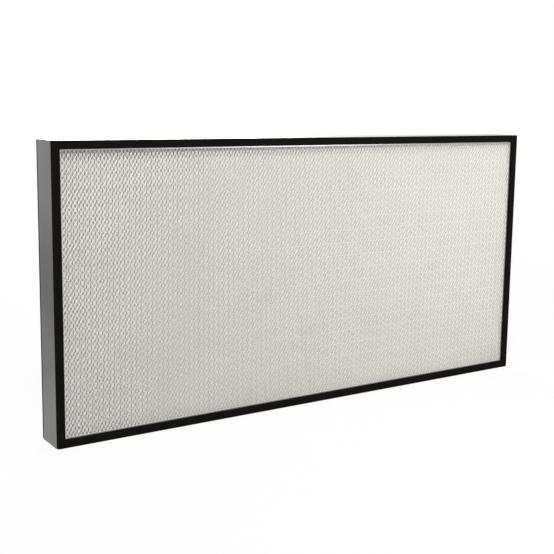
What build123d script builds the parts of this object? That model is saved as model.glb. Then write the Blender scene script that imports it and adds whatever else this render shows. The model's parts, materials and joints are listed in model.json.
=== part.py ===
from build123d import *
import math
import os

os.makedirs("parts", exist_ok=True)

# A mini-pleat air filter panel, standing on its long edge, in millimetres.
# X runs along the panel, Z is up and the front face looks towards -Y.

# Size of the aluminium frame, without the gaskets
panel_width = 1170.0
panel_height = 570.0
frame_depth = 66.0

# Frame extrusion: reaches are measured inwards from its outer face
wall = 1.5
lip_reach = 18.0
rib_setback = 4.0
outer_round = 0.8

# Face guards, held in the grooves behind the lips
guard_thickness = 2.0
guard_clearance = 0.3
guard_edge_gap = 0.5
cell_width = 91.0
cell_height = 138.0
strand_width = 12.0
smallest_gap_share = 0.08

# Flat corner keys in the two chambers of the extrusion
key_thickness = 2.0
key_clearance = 0.3
key_leg = 40.0
key_lead_in = 2.5

# Pleated media, and the hot-melt threads that hold its pleats apart
media_thickness = 0.5
pleat_pitch = 5.5
pack_capture = 2.0
thread_thickness = 0.8
thread_width = 2.0
thread_spacing = 28.0
thread_clearance = 0.3

# Gaskets on both faces, which leave a strip of the lip bare inside them
gasket_thickness = 4.5
gasket_inset = 0.1
bare_lip = 2.25
gasket_corner_radius = 3.0
gasket_edge_chamfer = 0.5

# Levels in the extrusion, measured from the mid-depth of the panel
lip_inner = frame_depth / 2 - wall
groove_inner = lip_inner - guard_thickness - 2 * guard_clearance
chamber_outer = groove_inner - wall
chamber_inner = chamber_outer - key_thickness - 2 * key_clearance
channel_half_depth = chamber_inner - wall

# Reaches in the extrusion, measured inwards from its outer face
rib_reach = lip_reach - rib_setback
chamber_reach = rib_reach - wall
pack_reach = rib_reach - pack_capture

# The panel's face, seen from the front, with its origin at mid-depth
face = Plane(origin=(0, 0, panel_height / 2), x_dir=(1, 0, 0), z_dir=(0, -1, 0))
faces = {"front": 1, "rear": -1}


# Section of the extrusion, its left side the panel's outer face: the outer wall, the
# lips, the guard grooves, the key chambers and the channel that takes the media
with BuildSketch() as extrusion_section:
    with BuildLine():
        Polyline(
            (0, 0),
            (0, frame_depth / 2),
            (lip_reach, frame_depth / 2),
            (lip_reach, lip_inner),
            (wall, lip_inner),
            (wall, groove_inner),
            (rib_reach, groove_inner),
            (rib_reach, channel_half_depth),
            (wall, channel_half_depth),
            (wall, 0),
            close=True,
        )
    make_face()
    with Locations(((wall + chamber_reach) / 2, (chamber_outer + chamber_inner) / 2)):
        Rectangle(chamber_reach - wall, chamber_outer - chamber_inner, mode=Mode.SUBTRACT)
    mirror(about=Plane.XZ)
    outer_corners = extrusion_section.vertices().group_by(Axis.X)[0]
    fillet(outer_corners, outer_round)

# Each side's plane starts on its outer face: x inwards, y to the front, z along it
frame_sides = {
    "top": ((0, 0, panel_height), (0, 0, -1), (-1, 0, 0), panel_width),
    "bottom": ((0, 0, 0), (0, 0, 1), (1, 0, 0), panel_width),
    "left": ((-panel_width / 2, 0, panel_height / 2), (1, 0, 0), (0, 0, -1), panel_height),
    "right": ((panel_width / 2, 0, panel_height / 2), (-1, 0, 0), (0, 0, 1), panel_height),
}

# Frame: four lengths of the extrusion, mitred where they meet
for side, (origin, inwards, along, length) in frame_sides.items():
    side_plane = Plane(origin=origin, x_dir=inwards, z_dir=along)
    with BuildPart() as frame_side:
        with BuildSketch(side_plane):
            add(extrusion_section.sketch)
        extrude(amount=length / 2, both=True)
        for end in (-1, 1):
            mitre_corner = side_plane.from_local_coords((0, 0, end * length / 2))
            mitre_normal = side_plane.x_dir + side_plane.z_dir * end
            split(bisect_by=Plane(origin=mitre_corner, z_dir=mitre_normal), keep=Keep.BOTTOM)
    frame_side.part.label = f"frame_{side}"
    export_step(frame_side.part, f"parts/frame_{side}.step")

# Corner keys: flat L plates that hold each mitre together, front and rear
key_depth = (chamber_outer + chamber_inner) / 2
key_outer = wall + key_clearance
key_inner = chamber_reach - key_clearance
key_corners = {
    "top_right": (1, 1, 180),
    "top_left": (-1, 1, 270),
    "bottom_left": (-1, -1, 0),
    "bottom_right": (1, -1, 90),
}
with BuildSketch() as key_outline:
    with BuildLine():
        Polyline(
            (key_outer, key_outer),
            (key_leg, key_outer),
            (key_leg, key_inner),
            (key_inner, key_inner),
            (key_inner, key_leg),
            (key_outer, key_leg),
            close=True,
        )
    make_face()
    leg_tips = key_outline.vertices().sort_by_distance((key_outer, key_outer))[-4:]
    chamfer(leg_tips, key_lead_in)

for face_name, front in faces.items():
    for corner, (right, up, turn) in key_corners.items():
        with BuildPart() as corner_key:
            with BuildSketch(face.offset(front * key_depth)):
                panel_corner = (right * panel_width / 2, up * panel_height / 2)
                with Locations(Location(panel_corner, turn)):
                    add(key_outline.sketch)
            extrude(amount=key_thickness / 2, both=True)
        corner_key.part.label = f"{face_name}_corner_key_{corner}"
        export_step(corner_key.part, f"parts/{corner_key.part.label}.step")

# Face guards: sheets opened into upright diamonds in staggered rows. The edges stay
# plain where they lie in the grooves, and so does any sliver of a diamond there
guard_depth = (lip_inner + groove_inner) / 2
guard_width = panel_width - 2 * (wall + guard_edge_gap)
guard_height = panel_height - 2 * (wall + guard_edge_gap)
opening_width = panel_width - 2 * lip_reach
opening_height = panel_height - 2 * lip_reach
strand_share = strand_width * math.hypot(cell_width, cell_height) / (cell_width * cell_height)
gap_width = cell_width * (1 - strand_share)
gap_height = cell_height * (1 - strand_share)
columns = 2 * math.ceil(opening_width / cell_width / 2) + 1
rows = 2 * math.ceil(opening_height / cell_height / 2) + 1
with BuildSketch() as guard_gaps:
    for stagger in (0, 1):
        with GridLocations(cell_width, cell_height, columns - stagger, rows - stagger):
            Polygon(
                (gap_width / 2, 0),
                (0, gap_height / 2),
                (-gap_width / 2, 0),
                (0, -gap_height / 2),
            )
    Rectangle(opening_width, opening_height, mode=Mode.INTERSECT)
smallest_gap = smallest_gap_share * gap_width * gap_height / 2
open_gaps = guard_gaps.faces().filter_by(lambda gap: gap.area > smallest_gap)

for face_name, front in faces.items():
    with BuildPart() as guard:
        with BuildSketch(face.offset(front * guard_depth)):
            Rectangle(guard_width, guard_height)
            add(open_gaps, mode=Mode.SUBTRACT)
        extrude(amount=guard_thickness / 2, both=True)
    guard.part.label = f"{face_name}_guard"
    export_step(guard.part, f"parts/{face_name}_guard.step")

# Media pack: one sheet folded into upright pleats. Each fold is two sheets wide
# outside and closed to a line inside
tip_depth = channel_half_depth - thread_clearance - thread_thickness
pack_width = panel_width - 2 * pack_reach
pack_height = panel_height - 2 * pack_reach
pleat_count = round(pack_width / pleat_pitch)
pleat_step = pack_width / pleat_count
pack_left = -pack_width / 2
fold_depth = tip_depth - media_thickness
front_outline = [(pack_left, -tip_depth)]
rear_outline = [(pack_left, -fold_depth)]
for pleat in range(pleat_count):
    front_fold = pack_left + pleat * pleat_step
    rear_fold = front_fold + pleat_step / 2
    next_fold = front_fold + pleat_step
    front_outline += [
        (front_fold + media_thickness, -tip_depth),
        (rear_fold, fold_depth),
        (next_fold - media_thickness, -tip_depth),
    ]
    rear_outline += [
        (rear_fold - media_thickness, tip_depth),
        (rear_fold + media_thickness, tip_depth),
        (next_fold, -fold_depth),
    ]
front_outline.append((-pack_left, -tip_depth))
with BuildPart() as media_pack:
    with BuildSketch(Plane.XY.offset(panel_height / 2)):
        with BuildLine():
            Polyline(*front_outline, *reversed(rear_outline), close=True)
        make_face()
    extrude(amount=pack_height / 2, both=True)
media_pack.part.label = "media_pack"
export_step(media_pack.part, "parts/media_pack.step")

# Separator threads: beads of hot-melt across the folds, on both faces of the pack
thread_rows = int(pack_height / thread_spacing)
for face_name, front in faces.items():
    with BuildPart() as threads:
        with BuildSketch(face.offset(front * (tip_depth + thread_thickness / 2))):
            with GridLocations(pack_width, thread_spacing, 1, thread_rows):
                Rectangle(pack_width, thread_width)
        extrude(amount=thread_thickness / 2, both=True)
    threads.part.label = f"{face_name}_separator_threads"
    export_step(threads.part, f"parts/{face_name}_separator_threads.step")

# Sealant: the channel of each side is filled up to the edge of the pack, the long
# sides first, and the short sides between them
seal_depth = pack_reach - wall
seal_middle = wall + seal_depth / 2
long_seal = panel_width - 2 * wall
short_seal = panel_height - 2 * pack_reach
sealant_beds = {
    "top": (0, panel_height / 2 - seal_middle, long_seal, seal_depth),
    "bottom": (0, seal_middle - panel_height / 2, long_seal, seal_depth),
    "left": (seal_middle - panel_width / 2, 0, seal_depth, short_seal),
    "right": (panel_width / 2 - seal_middle, 0, seal_depth, short_seal),
}
for side, (across, up, bed_width, bed_height) in sealant_beds.items():
    with BuildPart() as sealant:
        with BuildSketch(face):
            with Locations((across, up)):
                Rectangle(bed_width, bed_height)
        extrude(amount=channel_half_depth, both=True)
    sealant.part.label = f"sealant_{side}"
    export_step(sealant.part, f"parts/sealant_{side}.step")

# Gaskets: one seamless ring of cellular rubber on each face, flush with the outer edge
gasket_width = lip_reach - bare_lip - gasket_inset
ring_width = panel_width - 2 * gasket_inset
ring_height = panel_height - 2 * gasket_inset
for face_name, front in faces.items():
    with BuildPart() as gasket:
        with BuildSketch(face.offset(front * frame_depth / 2)):
            RectangleRounded(ring_width, ring_height, gasket_corner_radius)
            Rectangle(
                ring_width - 2 * gasket_width,
                ring_height - 2 * gasket_width,
                mode=Mode.SUBTRACT,
            )
        extrude(amount=front * gasket_thickness)
        seal_face = gasket.faces().sort_by(Axis.Y)[0 if front > 0 else -1]
        chamfer(seal_face.edges(), gasket_edge_chamfer)
    gasket.part.label = f"{face_name}_gasket"
    export_step(gasket.part, f"parts/{face_name}_gasket.step")
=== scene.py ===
import json

import bpy
import numpy as np
from mathutils import Matrix, Vector

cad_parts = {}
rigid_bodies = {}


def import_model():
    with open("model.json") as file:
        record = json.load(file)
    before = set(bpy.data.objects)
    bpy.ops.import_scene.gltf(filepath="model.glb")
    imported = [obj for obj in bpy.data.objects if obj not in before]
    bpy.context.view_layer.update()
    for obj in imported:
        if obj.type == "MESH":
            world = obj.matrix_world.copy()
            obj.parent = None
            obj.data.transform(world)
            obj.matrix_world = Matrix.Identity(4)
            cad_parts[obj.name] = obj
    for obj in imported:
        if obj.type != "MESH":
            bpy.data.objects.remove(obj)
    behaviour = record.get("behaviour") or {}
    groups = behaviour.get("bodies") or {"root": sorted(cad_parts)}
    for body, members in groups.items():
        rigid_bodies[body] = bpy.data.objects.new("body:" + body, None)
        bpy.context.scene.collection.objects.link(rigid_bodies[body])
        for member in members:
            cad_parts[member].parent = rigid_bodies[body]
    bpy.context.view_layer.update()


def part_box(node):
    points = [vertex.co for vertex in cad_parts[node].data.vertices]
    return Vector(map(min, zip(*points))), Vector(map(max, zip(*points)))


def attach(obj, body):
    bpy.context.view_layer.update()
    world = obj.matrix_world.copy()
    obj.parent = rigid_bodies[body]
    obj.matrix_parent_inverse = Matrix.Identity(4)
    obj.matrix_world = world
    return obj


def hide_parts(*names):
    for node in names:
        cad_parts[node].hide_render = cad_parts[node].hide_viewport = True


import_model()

# Camera: the panel stands on its long edge and is seen from its left end, a little above
# its middle. The lens keeps the slight convergence of the long edges.
camera_place = Vector((-1.24965, -1.76210, 0.64668))
heading, dip, roll = np.radians((33.680, 8.822, 0.758))
ahead = Vector((np.sin(heading) * np.cos(dip), np.cos(heading) * np.cos(dip), -np.sin(dip)))
level = Vector((np.cos(heading), -np.sin(heading), 0))
upright = level.cross(ahead)
across = level * np.cos(roll) + upright * np.sin(roll)
upwards = upright * np.cos(roll) - level * np.sin(roll)
lens = bpy.data.cameras.new("studio_camera")
lens.sensor_width = 36
lens.lens = 65.984
lens.shift_x = -0.00164
lens.shift_y = -0.03550
lens.clip_start = 0.05
camera = bpy.data.objects.new("studio_camera", lens)
turned = Matrix((across, upwards, -ahead)).transposed().to_4x4()
camera.matrix_world = Matrix.Translation(camera_place) @ turned
bpy.context.scene.collection.objects.link(camera)
bpy.context.scene.camera = camera
bpy.context.scene.view_settings.view_transform = "Standard"

# Studio: a pale paper floor that fades into a plain white room, a soft lamp high at the
# left, a tall weak one at the front right for the far end, and a broad one behind.
def new_finish(name, looks):
    """A material with its shader's inputs set from looks. Returns it, its tree and shader."""
    finish = bpy.data.materials.new(name)
    finish.use_nodes = True
    shader = finish.node_tree.nodes["Principled BSDF"]
    for label, value in looks.items():
        shader.inputs[label].default_value = value
    return finish, finish.node_tree, shader


def directly_seen(tree):
    """1 for the camera's rays and for mirrored ones, 0 for those that only carry light."""
    ray = tree.nodes.new("ShaderNodeLightPath")
    either = tree.nodes.new("ShaderNodeMath")
    either.operation = "MAXIMUM"
    tree.links.new(ray.outputs["Is Camera Ray"], either.inputs[0])
    tree.links.new(ray.outputs["Is Glossy Ray"], either.inputs[1])
    return either.outputs[0]


def remap(tree, value, span, result):
    """Stretches a value that runs over the span so that it runs over the result instead."""
    stretch = tree.nodes.new("ShaderNodeMapRange")
    for end, bound, target in zip(("Min", "Max"), span, result):
        stretch.inputs[f"From {end}"].default_value = bound
        stretch.inputs[f"To {end}"].default_value = target
    tree.links.new(value, stretch.inputs["Value"])
    return stretch.outputs["Result"]


def blend(tree, share, first, second, output):
    """Mixes two shaders by a share, 0 for the first and 1 for the second, into the output."""
    mix = tree.nodes.new("ShaderNodeMixShader")
    tree.links.new(share, mix.inputs["Fac"])
    tree.links.new(first.outputs[0], mix.inputs[1])
    tree.links.new(second.outputs[0], mix.inputs[2])
    tree.links.new(mix.outputs[0], tree.nodes[output].inputs["Surface"])


room = bpy.data.worlds.new("studio_room")
room.use_nodes = True
bpy.context.scene.world = room
tree = room.node_tree
room_light = tree.nodes["Background"]
white_wall = tree.nodes.new("ShaderNodeBackground")
for wall, strength in ((room_light, 0.30), (white_wall, 1.0)):
    wall.inputs["Color"].default_value = (1, 1, 1, 1)
    wall.inputs["Strength"].default_value = strength
blend(tree, directly_seen(tree), room_light, white_wall, "World Output")

floor_reach = 30
floor_corners = [
    (x * floor_reach, y * floor_reach, 0) for x, y in ((-1, -1), (1, -1), (1, 1), (-1, 1))]
floor_mesh = bpy.data.meshes.new("studio_floor")
floor_mesh.from_pydata(floor_corners, [], [(0, 1, 2, 3)])
floor = bpy.data.objects.new("studio_floor", floor_mesh)
bpy.context.scene.collection.objects.link(floor)
floor_finish, tree, paper = new_finish("floor_paper", {
    "Base Color": (0.86, 0.86, 0.86, 1), "Roughness": 0.9, "Specular IOR Level": 0.1})
glow = tree.nodes.new("ShaderNodeEmission")
place = tree.nodes.new("ShaderNodeTexCoord")
distance = tree.nodes.new("ShaderNodeVectorMath")
distance.operation = "LENGTH"
tree.links.new(place.outputs["Object"], distance.inputs[0])
shown = tree.nodes.new("ShaderNodeMath")
shown.operation = "MULTIPLY"
tree.links.new(directly_seen(tree), shown.inputs[0])
tree.links.new(remap(tree, distance.outputs["Value"], (0.6, 2.5), (0.88, 1.0)), shown.inputs[1])
blend(tree, shown.outputs[0], paper, glow, "Material Output")
floor_mesh.materials.append(floor_finish)

# Each lamp's stand and size in metres, and its power in watts
lamps = {
    "key_lamp": ((-1.2, -1.6, 2.4), (0.4, 0.4), 54.0),
    "tall_front_lamp": ((0.6, -1.0, 0.8), (0.4, 1.2), 8.5),
    "rear_lamp": ((0.9, 2.4, 1.6), (1.2, 1.2), 45.0),
}
lamp_target = Vector((0, 0, 0.3))
for name, (stand, size, power) in lamps.items():
    lamp = bpy.data.lights.new(name, "AREA")
    lamp.shape = "RECTANGLE"
    lamp.size, lamp.size_y = size
    lamp.energy = power
    lamp_object = bpy.data.objects.new(name, lamp)
    turned = (lamp_target - Vector(stand)).to_track_quat("-Z", "Y").to_matrix().to_4x4()
    lamp_object.matrix_world = Matrix.Translation(stand) @ turned
    bpy.context.scene.collection.objects.link(lamp_object)

# Frame: four lengths of one aluminium extrusion, mitred and pressed onto corner keys. They
# are satin anodised, and the die's fine drawing lines run along each length.
# Painted shade: the outer 0.7 mm at each end of the panel, the frame's end faces, takes a far
# darker grey than the rest of the frame.
end_reach = 0.5843
# The clouds' pattern is picked so that they run light, dark and light down the left end, where they
# grade the painted shade of the ends: a painted reflection there. Elsewhere they mottle the coat.
cloud_and_reflection_pattern = 3.0


def noise(tree, vector, scale, detail):
    """Fractal noise from 0 to 1, with about scale waves to each unit of the vector."""
    grain = tree.nodes.new("ShaderNodeTexNoise")
    grain.inputs["Scale"].default_value = scale
    grain.inputs["Detail"].default_value = detail
    tree.links.new(vector, grain.inputs["Vector"])
    return grain


def graded(tree, value, span, dark, light):
    """A colour that runs from dark to light while the value runs over the span."""
    ramp = tree.nodes.new("ShaderNodeValToRGB")
    for step, position, colour in zip(ramp.color_ramp.elements, span, (dark, light)):
        step.position = position
        step.color = (*colour, 1)
    tree.links.new(value, ramp.inputs["Fac"])
    return ramp.outputs["Color"]


def raised(tree, value, strength, depth):
    """Relief in the shading: the value times the depth, in metres, weighed by the strength."""
    bump = tree.nodes.new("ShaderNodeBump")
    bump.inputs["Strength"].default_value = strength
    bump.inputs["Distance"].default_value = depth
    tree.links.new(value, bump.inputs["Height"])
    tree.links.new(bump.outputs["Normal"], tree.nodes["Principled BSDF"].inputs["Normal"])


def aluminium(name, along, colour, shaded_end_colour):
    """Satin aluminium under a thin clear coat. The drawing lines are noise stretched three
    hundredfold along the extrusion, in roughness and relief, and a slow cloudiness lies in
    the coat. What is farther than end_reach from the panel's middle, the outer 0.7 mm at
    each end, takes the end colour, which the lines and the clouds grade as well. On the
    frame that end colour is painted shade, far darker than the rest, and the clouds' light
    and dark run along it is a painted reflection."""
    finish, tree, metal = new_finish(name, {"Metallic": 0.85, "Coat Roughness": 0.25})
    place = tree.nodes.new("ShaderNodeTexCoord").outputs["Object"]
    stretch = tree.nodes.new("ShaderNodeMapping")
    stretch.inputs["Scale"].default_value = [3.0 if axis == along else 900.0 for axis in "XYZ"]
    tree.links.new(place, stretch.inputs["Vector"])
    drawn = noise(tree, stretch.outputs["Vector"], 1.0, 3.0).outputs["Fac"]
    cloud_and_reflection = noise(tree, place, 2.2, 2.0)
    cloud_and_reflection.noise_dimensions = "4D"
    cloud_and_reflection.inputs["W"].default_value = cloud_and_reflection_pattern
    cloud_and_reflection_span = (0.35, 0.65)
    coating = remap(tree, cloud_and_reflection.outputs["Fac"], cloud_and_reflection_span, (0.0, 0.9))
    tree.links.new(coating, metal.inputs["Coat Weight"])
    lines_and_reflection = tree.nodes.new("ShaderNodeMath")
    lines_and_reflection.operation = "ADD"
    # The veil carries the clouds into the shaded end colour, a painted reflection there.
    painted_reflection_veil = remap(tree, cloud_and_reflection.outputs["Fac"], cloud_and_reflection_span, (-0.35, 0.35))
    tree.links.new(painted_reflection_veil, lines_and_reflection.inputs[0])
    tree.links.new(drawn, lines_and_reflection.inputs[1])
    dark, light = [[part * share for part in shaded_end_colour] for share in (0.5, 1.5)]
    shaded_end_tint = graded(tree, lines_and_reflection.outputs[0], (0.1, 0.9), dark, light)
    split = tree.nodes.new("ShaderNodeSeparateXYZ")
    tree.links.new(place, split.inputs[0])
    from_middle = tree.nodes.new("ShaderNodeMath")
    from_middle.operation = "ABSOLUTE"
    tree.links.new(split.outputs["X"], from_middle.inputs[0])
    within = tree.nodes.new("ShaderNodeMath")
    within.operation = "LESS_THAN"
    within.inputs[1].default_value = end_reach
    tree.links.new(from_middle.outputs[0], within.inputs[0])
    chosen = tree.nodes.new("ShaderNodeMix")
    chosen.data_type = "RGBA"
    chosen.inputs["B"].default_value = (*colour, 1)
    tree.links.new(within.outputs[0], chosen.inputs["Factor"])
    tree.links.new(shaded_end_tint, chosen.inputs["A"])
    tree.links.new(chosen.outputs["Result"], metal.inputs["Base Color"])
    tree.links.new(remap(tree, drawn, (0.0, 1.0), (0.28, 0.38)), metal.inputs["Roughness"])
    raised(tree, drawn, 0.15, 0.0001)
    return finish


frame_grey = (0.38, 0.38, 0.375)
# The end grey is painted shade: the frame's end faces take it in place of the aluminium's own grey.
shaded_end_grey = (0.078, 0.078, 0.079)
for axis, grain_name, sides in (("X", "lengthwise", ("top", "bottom")),
                                ("Z", "upright", ("left", "right"))):
    frame_finish = aluminium(f"frame_aluminium_{grain_name}", axis, frame_grey, shaded_end_grey)
    for side in sides:
        bpy.data.objects[f"frame_{side}"].material_slots[0].material = frame_finish

# Corner keys: flat stamped L plates, mill-finish aluminium, pressed into the frame's two
# chambers across each mitre.
key_grey = (0.46, 0.46, 0.46)
key_finish = aluminium("key_mill_aluminium", "X", key_grey, key_grey)
for front in ("front", "rear"):
    for corner in ("top_left", "top_right", "bottom_left", "bottom_right"):
        bpy.data.objects[f"{front}_corner_key_{corner}"].material_slots[0].material = key_finish

# Guards: steel sheet slit and stretched into small upright diamonds, powder coated white.
# Each strand snakes up the sheet and is bonded to its neighbours by turns, and the bonds
# lean like louvres. The plain edge of the sheet lies in the frame's groove.
diamond_width = 0.00773
diamond_height = 0.01307
strand_width = 0.00126
strand_thickness = 0.00050
strand_lean = np.radians(32)
strand_count = 297
bond_count = 83
bond_in_line = 0.25
border_width = 0.016


def strands(middle, middle_z, outwards):
    """Strand i snakes up the sheet: at level k its centre is i half-diamonds across plus or
    minus the reach to the bond it shares there, right where i + k is even, else left. Its
    section is a flat bar, leant by strand_lean. A bond's two bars stand side by side, and
    bond_in_line is how far they are stepped towards one leant plate, 1 being all the way."""
    lean = strand_lean * outwards
    bar = np.array([(-1, -1), (1, -1), (1, 1), (-1, 1)]) * (strand_width / 2, strand_thickness / 2)
    bar_x = bar[:, 0] * np.cos(lean) - bar[:, 1] * np.sin(lean)
    bar_y = bar[:, 0] * np.sin(lean) + bar[:, 1] * np.cos(lean)
    strand = np.arange(strand_count)[:, None, None]
    bond = np.arange(bond_count + 1)[None, :, None]
    side = 1 - 2 * ((strand + bond) % 2)
    half_bond_x = strand_width / 2 * np.cos(lean)
    half_bond_y = bond_in_line * strand_width / 2 * np.sin(lean)
    x = (strand - (strand_count - 1) / 2) * diamond_width / 2
    x = x + side * (diamond_width / 4 - half_bond_x) + bar_x
    y = middle - side * half_bond_y + bar_y + 0 * x
    z = middle_z + (bond - bond_count / 2) * diamond_height / 2 + 0 * x
    points = np.stack((x, y, z), -1).reshape(-1, 3)
    first = (np.arange(strand_count)[:, None] * (bond_count + 1) + np.arange(bond_count)) * 4
    corner = np.arange(4)
    following = (corner + 1) % 4
    low, high = first[..., None], first[..., None] + 4
    walls = np.stack((low + corner, low + following, high + following, high + corner), -1)
    foot = np.arange(strand_count)[:, None] * (bond_count + 1) * 4
    feet = foot + corner[::-1]
    heads = foot + bond_count * 4 + corner
    return points, np.vstack((walls.reshape(-1, 4), feet, heads))


def flat_ring(outer, inner, y_low, y_high, middle_z):
    """A flat rectangular ring: four corners outside and four inside, at two depths. Its
    faces are the front, the rear, the outer edge and the inner edge, four of each."""
    corner = np.array([(-1, -1), (1, -1), (1, 1), (-1, 1)])
    x, z = np.vstack((corner * outer, corner * inner)).T
    points = np.vstack([np.stack((x, 0 * x + y, middle_z + z), -1) for y in (y_low, y_high)])
    a = np.arange(4)
    b = (a + 1) % 4
    front, rear = (a, b, b + 4, a + 4), (a + 8, a + 12, b + 12, b + 8)
    outside, inside = (a, a + 8, b + 8, b), (a + 4, b + 4, b + 12, a + 12)
    return points, np.vstack([np.stack(side, -1) for side in (front, rear, outside, inside)])


def surface(name, parts, smooth=False):
    """Joins arrays of points and faces into one mesh and its object, placed at the origin."""
    points, faces, start = [], [], 0
    for part_points, part_faces in parts:
        points.append(part_points)
        faces.append(part_faces + start)
        start += len(part_points)
    points, faces = np.vstack(points), np.vstack(faces)
    mesh = bpy.data.meshes.new(name)
    mesh.vertices.add(len(points))
    mesh.vertices.foreach_set("co", points.astype(np.float32).ravel())
    mesh.loops.add(faces.size)
    mesh.loops.foreach_set("vertex_index", faces.astype(np.int32).ravel())
    mesh.polygons.add(len(faces))
    mesh.polygons.foreach_set("loop_start", np.arange(0, faces.size, 4, dtype=np.int32))
    mesh.update(calc_edges=True)
    mesh.validate()
    mesh.polygons.foreach_set("use_smooth", np.full(len(faces), smooth))
    piece = bpy.data.objects.new(name, mesh)
    bpy.context.scene.collection.objects.link(piece)
    return piece


def mottled(name, looks, scale, detail, dark, light, span=(0.0, 1.0), relief=None):
    """A finish that noise in Object coordinates grades from dark to light, over the span of
    the noise. Where relief is given, as strength and depth, the same noise raises it."""
    finish, tree, shader = new_finish(name, looks)
    place = tree.nodes.new("ShaderNodeTexCoord")
    grain = noise(tree, place.outputs["Object"], scale, detail).outputs["Fac"]
    tree.links.new(graded(tree, grain, span, dark, light), shader.inputs["Base Color"])
    if relief:
        raised(tree, grain, *relief)
    return finish


guard_coat = mottled(
    "guard_powder_coat", {"Roughness": 0.45, "Specular IOR Level": 0.4}, scale=9.0, detail=4.0,
    dark=(0.80, 0.775, 0.735), light=(0.86, 0.835, 0.795), span=(0.3, 0.7))
tree = guard_coat.node_tree
place = tree.nodes.new("ShaderNodeTexCoord")
peel = noise(tree, place.outputs["Object"], 2500.0, 2.0)
raised(tree, peel.outputs["Fac"], 0.2, 0.00005)

for front, outwards in (("front", -1), ("rear", 1)):
    low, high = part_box(f"{front}_guard")
    guard_middle = (low[1] + high[1]) / 2
    middle_z = (low[2] + high[2]) / 2
    outer = np.array((high[0], (high[2] - low[2]) / 2))
    border = flat_ring(outer, outer - border_width, low[1], high[1], middle_z)
    guard = surface(f"{front}_expanded_guard", [strands(guard_middle, middle_z, outwards), border])
    guard.data.materials.append(guard_coat)
    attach(guard, "root")
    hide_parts(f"{front}_guard")

# Media: one long sheet of white glass-fibre paper, folded into close upright pleats. The
# folds are rounded at their tips and not quite straight from top to bottom.
media_thickness = 0.00040
fold_pitch = 0.0029
fold_rows = 20
fold_wander = 0.00022
low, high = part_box("media_pack")
fold_count = round((high[0] - low[0]) / fold_pitch)


def folded_sheet():
    """A zigzag of fold_count pleats across X, between the box's two faces in Y, each tip an
    arc of three points 60 degrees apart. The sheet's two skins lie half a thickness either
    side of that line, and each row wanders along X by a product of two slow sine waves."""
    step = (high[0] - low[0] - media_thickness) / fold_count
    depth = (high[1] - low[1]) / 2
    tip = step / 5
    turn = np.radians((-60, 0, 60))
    rear_tip = np.stack((np.sin(turn) * tip, depth - tip + np.cos(turn) * tip), -1)
    front_tip = np.stack((np.sin(turn) * tip + step / 2, tip - depth - np.cos(turn) * tip), -1)
    starts = low[0] + step / 4 + media_thickness / 2 + np.arange(fold_count) * step
    offsets = np.stack((starts, np.zeros(fold_count)), -1)[:, None]
    line = (np.vstack((rear_tip, front_tip)) + offsets).reshape(-1, 2)
    run = np.gradient(line, axis=0)
    run /= np.linalg.norm(run, axis=1)[:, None]
    skin = np.stack((-run[:, 1], run[:, 0]), -1) * media_thickness / 2
    loop = np.vstack((line - skin, (line + skin)[::-1]))
    x, y = loop[:, 0][None], np.clip(loop[:, 1], -depth, depth)[None]
    heights = np.linspace(low[2], high[2], fold_rows)[:, None]
    wander = fold_wander * np.sin(heights * 41 + x * 57) * np.cos(x * 23 + 1.0)
    middle = (low[1] + high[1]) / 2
    points = np.stack((
        np.clip(x + wander, low[0], high[0]), middle + y + 0 * wander, heights + 0 * wander), -1)
    count = len(loop)
    row = np.arange(fold_rows - 1)[:, None] * count
    on = np.arange(count)[None]
    after = (on + 1) % count
    walls = np.stack((row + on, row + after, row + count + after, row + count + on), -1)
    slot = np.arange(count // 2 - 1)
    ends = np.stack((slot, slot + 1, count - 2 - slot, count - 1 - slot), -1)
    top = (fold_rows - 1) * count
    return points.reshape(-1, 3), np.vstack((walls.reshape(-1, 4), ends[:, ::-1], ends + top))


media = surface("pleated_media", [folded_sheet()])

# Painted shade: the white glass-fibre paper takes a grey far darker than its own, for the shade it
# lies in behind the guard and between its folds. The noise varies it at random.
shaded_paper_finish = mottled(
    "shaded_glass_fibre_paper", {"Roughness": 0.95, "Specular IOR Level": 0.15}, scale=260.0, detail=5.0,
    dark=(0.64, 0.62, 0.59), light=(0.72, 0.70, 0.67), span=(0.3, 0.7), relief=(0.4, 0.0001))
media.data.materials.append(shaded_paper_finish)
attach(media, "root")
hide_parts("media_pack")

# Separator threads: thin beads of white hot-melt laid across the folds on both faces, 28 mm
# apart, which keep the folds at their pitch. The beads are uneven and not quite straight.
thread_rows = 19
thread_width = 0.0014
thread_snake = 0.0002
thread_steps = fold_count * 2


def beads(low, high):
    """Beads along X, four-sided and shaded round. The absolute value of a sine takes them
    between 0.8 and 1 of their size once in each fold pitch, though not in step with the
    tips, and a slow sine snakes each one up and down."""
    spacing = (high[2] - low[2] - thread_width) / (thread_rows - 1)
    x = np.linspace(low[0], high[0], thread_steps + 1)[None, :, None]
    level = (low[2] + thread_width / 2 + np.arange(thread_rows) * spacing)[:, None, None]
    around = np.radians((0, 90, 180, 270))
    swell = 0.80 + 0.20 * np.abs(np.sin(x / fold_pitch * np.pi + 0.4 * np.sin(level * 90)))
    y = (low[1] + high[1]) / 2 + (high[1] - low[1]) / 2 * np.cos(around) * swell
    z = level + thread_width / 2 * np.sin(around) * swell
    z = z + thread_snake * np.sin(x * 35 + level * 70)
    points = np.stack((x + 0 * y, y, z), -1).reshape(-1, 3)
    first = np.arange(thread_rows)[:, None, None] * (thread_steps + 1) * 4
    ring = first + np.arange(thread_steps)[None, :, None] * 4
    side = np.arange(4)
    after = (side + 1) % 4
    walls = np.stack((ring + side, ring + after, ring + 4 + after, ring + 4 + side), -1)
    starts = (first + side[::-1]).reshape(-1, 4)
    ends = (first + thread_steps * 4 + side).reshape(-1, 4)
    return points, np.vstack((walls.reshape(-1, 4), starts, ends))


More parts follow.
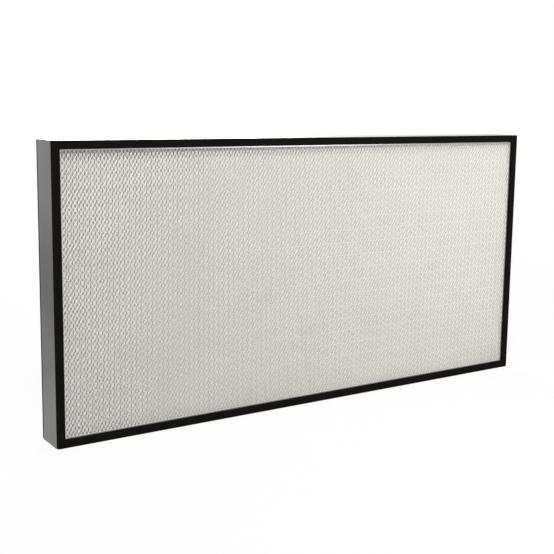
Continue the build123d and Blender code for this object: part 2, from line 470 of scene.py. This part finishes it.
# Painted shade: the white hot-melt beads take a grey far darker than their own, for the shade they
# lie in behind the guard. The noise varies it at random.
melt = mottled(
    "shaded_hot_melt_bead", {"Roughness": 0.35}, scale=90.0, detail=2.0,
    dark=(0.46, 0.445, 0.42), light=(0.56, 0.545, 0.52))
for front in ("front", "rear"):
    low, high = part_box(f"{front}_separator_threads")
    threads = surface(f"{front}_melt_threads", [beads(low, high)], smooth=True)
    threads.data.materials.append(melt)
    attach(threads, "root")
    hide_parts(f"{front}_separator_threads")

# Sealant: two-part polyurethane cast into the frame's channel, which beds the edges of the
# pack. It is cream, smooth where it levelled and slightly blotched.
sealant_finish = mottled(
    "cast_sealant", {"Roughness": 0.4}, scale=35.0, detail=2.0,
    dark=(0.62, 0.57, 0.44), light=(0.74, 0.70, 0.58))
for side in ("top", "bottom", "left", "right"):
    bpy.data.objects[f"sealant_{side}"].material_slots[0].material = sealant_finish

# Gaskets: a seamless ring of black cellular rubber on each face of the frame, with a thin
# moulded skin, rounded edges and almost square corners.
gasket_width = 0.01565
gasket_radius = 0.0030
least_radius = 0.0008
edge_round = 0.0003
edge_waviness = 0.00012
long_points = 64
short_points = 34
corner_points = 6


def ring_loop(half_width, half_height, radius):
    """A rounded rectangle, anticlockwise from its lower right: each corner is a quarter
    circle, and each side is divided evenly between the corners."""
    quarter = np.linspace(0, np.pi / 2, corner_points)
    points = []
    for number, (sx, sz) in enumerate(((1, -1), (1, 1), (-1, 1), (-1, -1))):
        angle = quarter + (number - 1) * np.pi / 2
        cx, cz = sx * (half_width - radius), sz * (half_height - radius)
        arc = np.stack((cx + radius * np.cos(angle), cz + radius * np.sin(angle)), -1)
        points.append(arc)
    loop = []
    for number in range(4):
        start, end = points[number][-1], points[(number + 1) % 4][0]
        count = (short_points, long_points)[number % 2]
        share = (np.arange(1, count) / count)[:, None]
        loop += [points[number], start + (end - start) * share]
    return np.vstack(loop)


def gasket_ring(low, high, outwards):
    """The section runs from the frame up the outer side, over the flat top with a round at
    each edge, and down the inner side. Each of its points is a rounded rectangle, inset by
    the section's reach, with a slow waviness that grows from none outside to the inner edge."""
    half_width, half_height = high[0], (high[2] - low[2]) / 2
    thick = high[1] - low[1]
    turn = np.linspace(0, np.pi / 2, 5)
    outer = np.stack((edge_round * (1 - np.cos(turn)), thick - edge_round * (1 - np.sin(turn))), -1)
    inner = np.stack((gasket_width - outer[::-1, 0], outer[::-1, 1]), -1)
    crown = np.linspace(edge_round, gasket_width - edge_round, 7)[1:-1]
    top = np.stack((crown, np.full(5, thick)), -1)
    section = np.vstack(((0, 0), outer, top, inner, (gasket_width, 0)))
    base = low[1] if outwards > 0 else high[1]
    middle_z = (low[2] + high[2]) / 2
    loops = []
    for inset, rise in section:
        radius = max(gasket_radius - inset, least_radius)
        loop = ring_loop(half_width - inset, half_height - inset, radius)
        span = edge_waviness * inset / gasket_width
        loop = loop * (1 - span * (1 + np.sin(loop[:, :1] * 37 + loop[:, 1:] * 51)))
        y = np.full(len(loop), base + outwards * rise)
        loops.append(np.stack((loop[:, 0], y, middle_z + loop[:, 1]), -1))
    points = np.vstack(loops)
    count = len(loops[0])
    ring = (np.arange(len(section)) * count)[:, None]
    next_ring = (np.roll(np.arange(len(section)), -1) * count)[:, None]
    on = np.arange(count)[None]
    after = (on + 1) % count
    order = (ring + on, ring + after, next_ring + after, next_ring + on)
    if outwards > 0:
        order = order[::-1]
    return points, np.stack(order, -1).reshape(-1, 4)


rubber = mottled(
    "cellular_rubber", {"Roughness": 0.9, "Specular IOR Level": 0.02}, scale=900.0, detail=3.0,
    dark=(0.0036, 0.0031, 0.0024), light=(0.009, 0.008, 0.0062), relief=(0.5, 0.0001))
for front, outwards in (("front", -1), ("rear", 1)):
    low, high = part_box(f"{front}_gasket")
    gasket = surface(f"{front}_rubber_gasket", [gasket_ring(low, high, outwards)], smooth=True)
    gasket.data.materials.append(rubber)
    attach(gasket, "root")
    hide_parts(f"{front}_gasket")

bpy.context.view_layer.update()
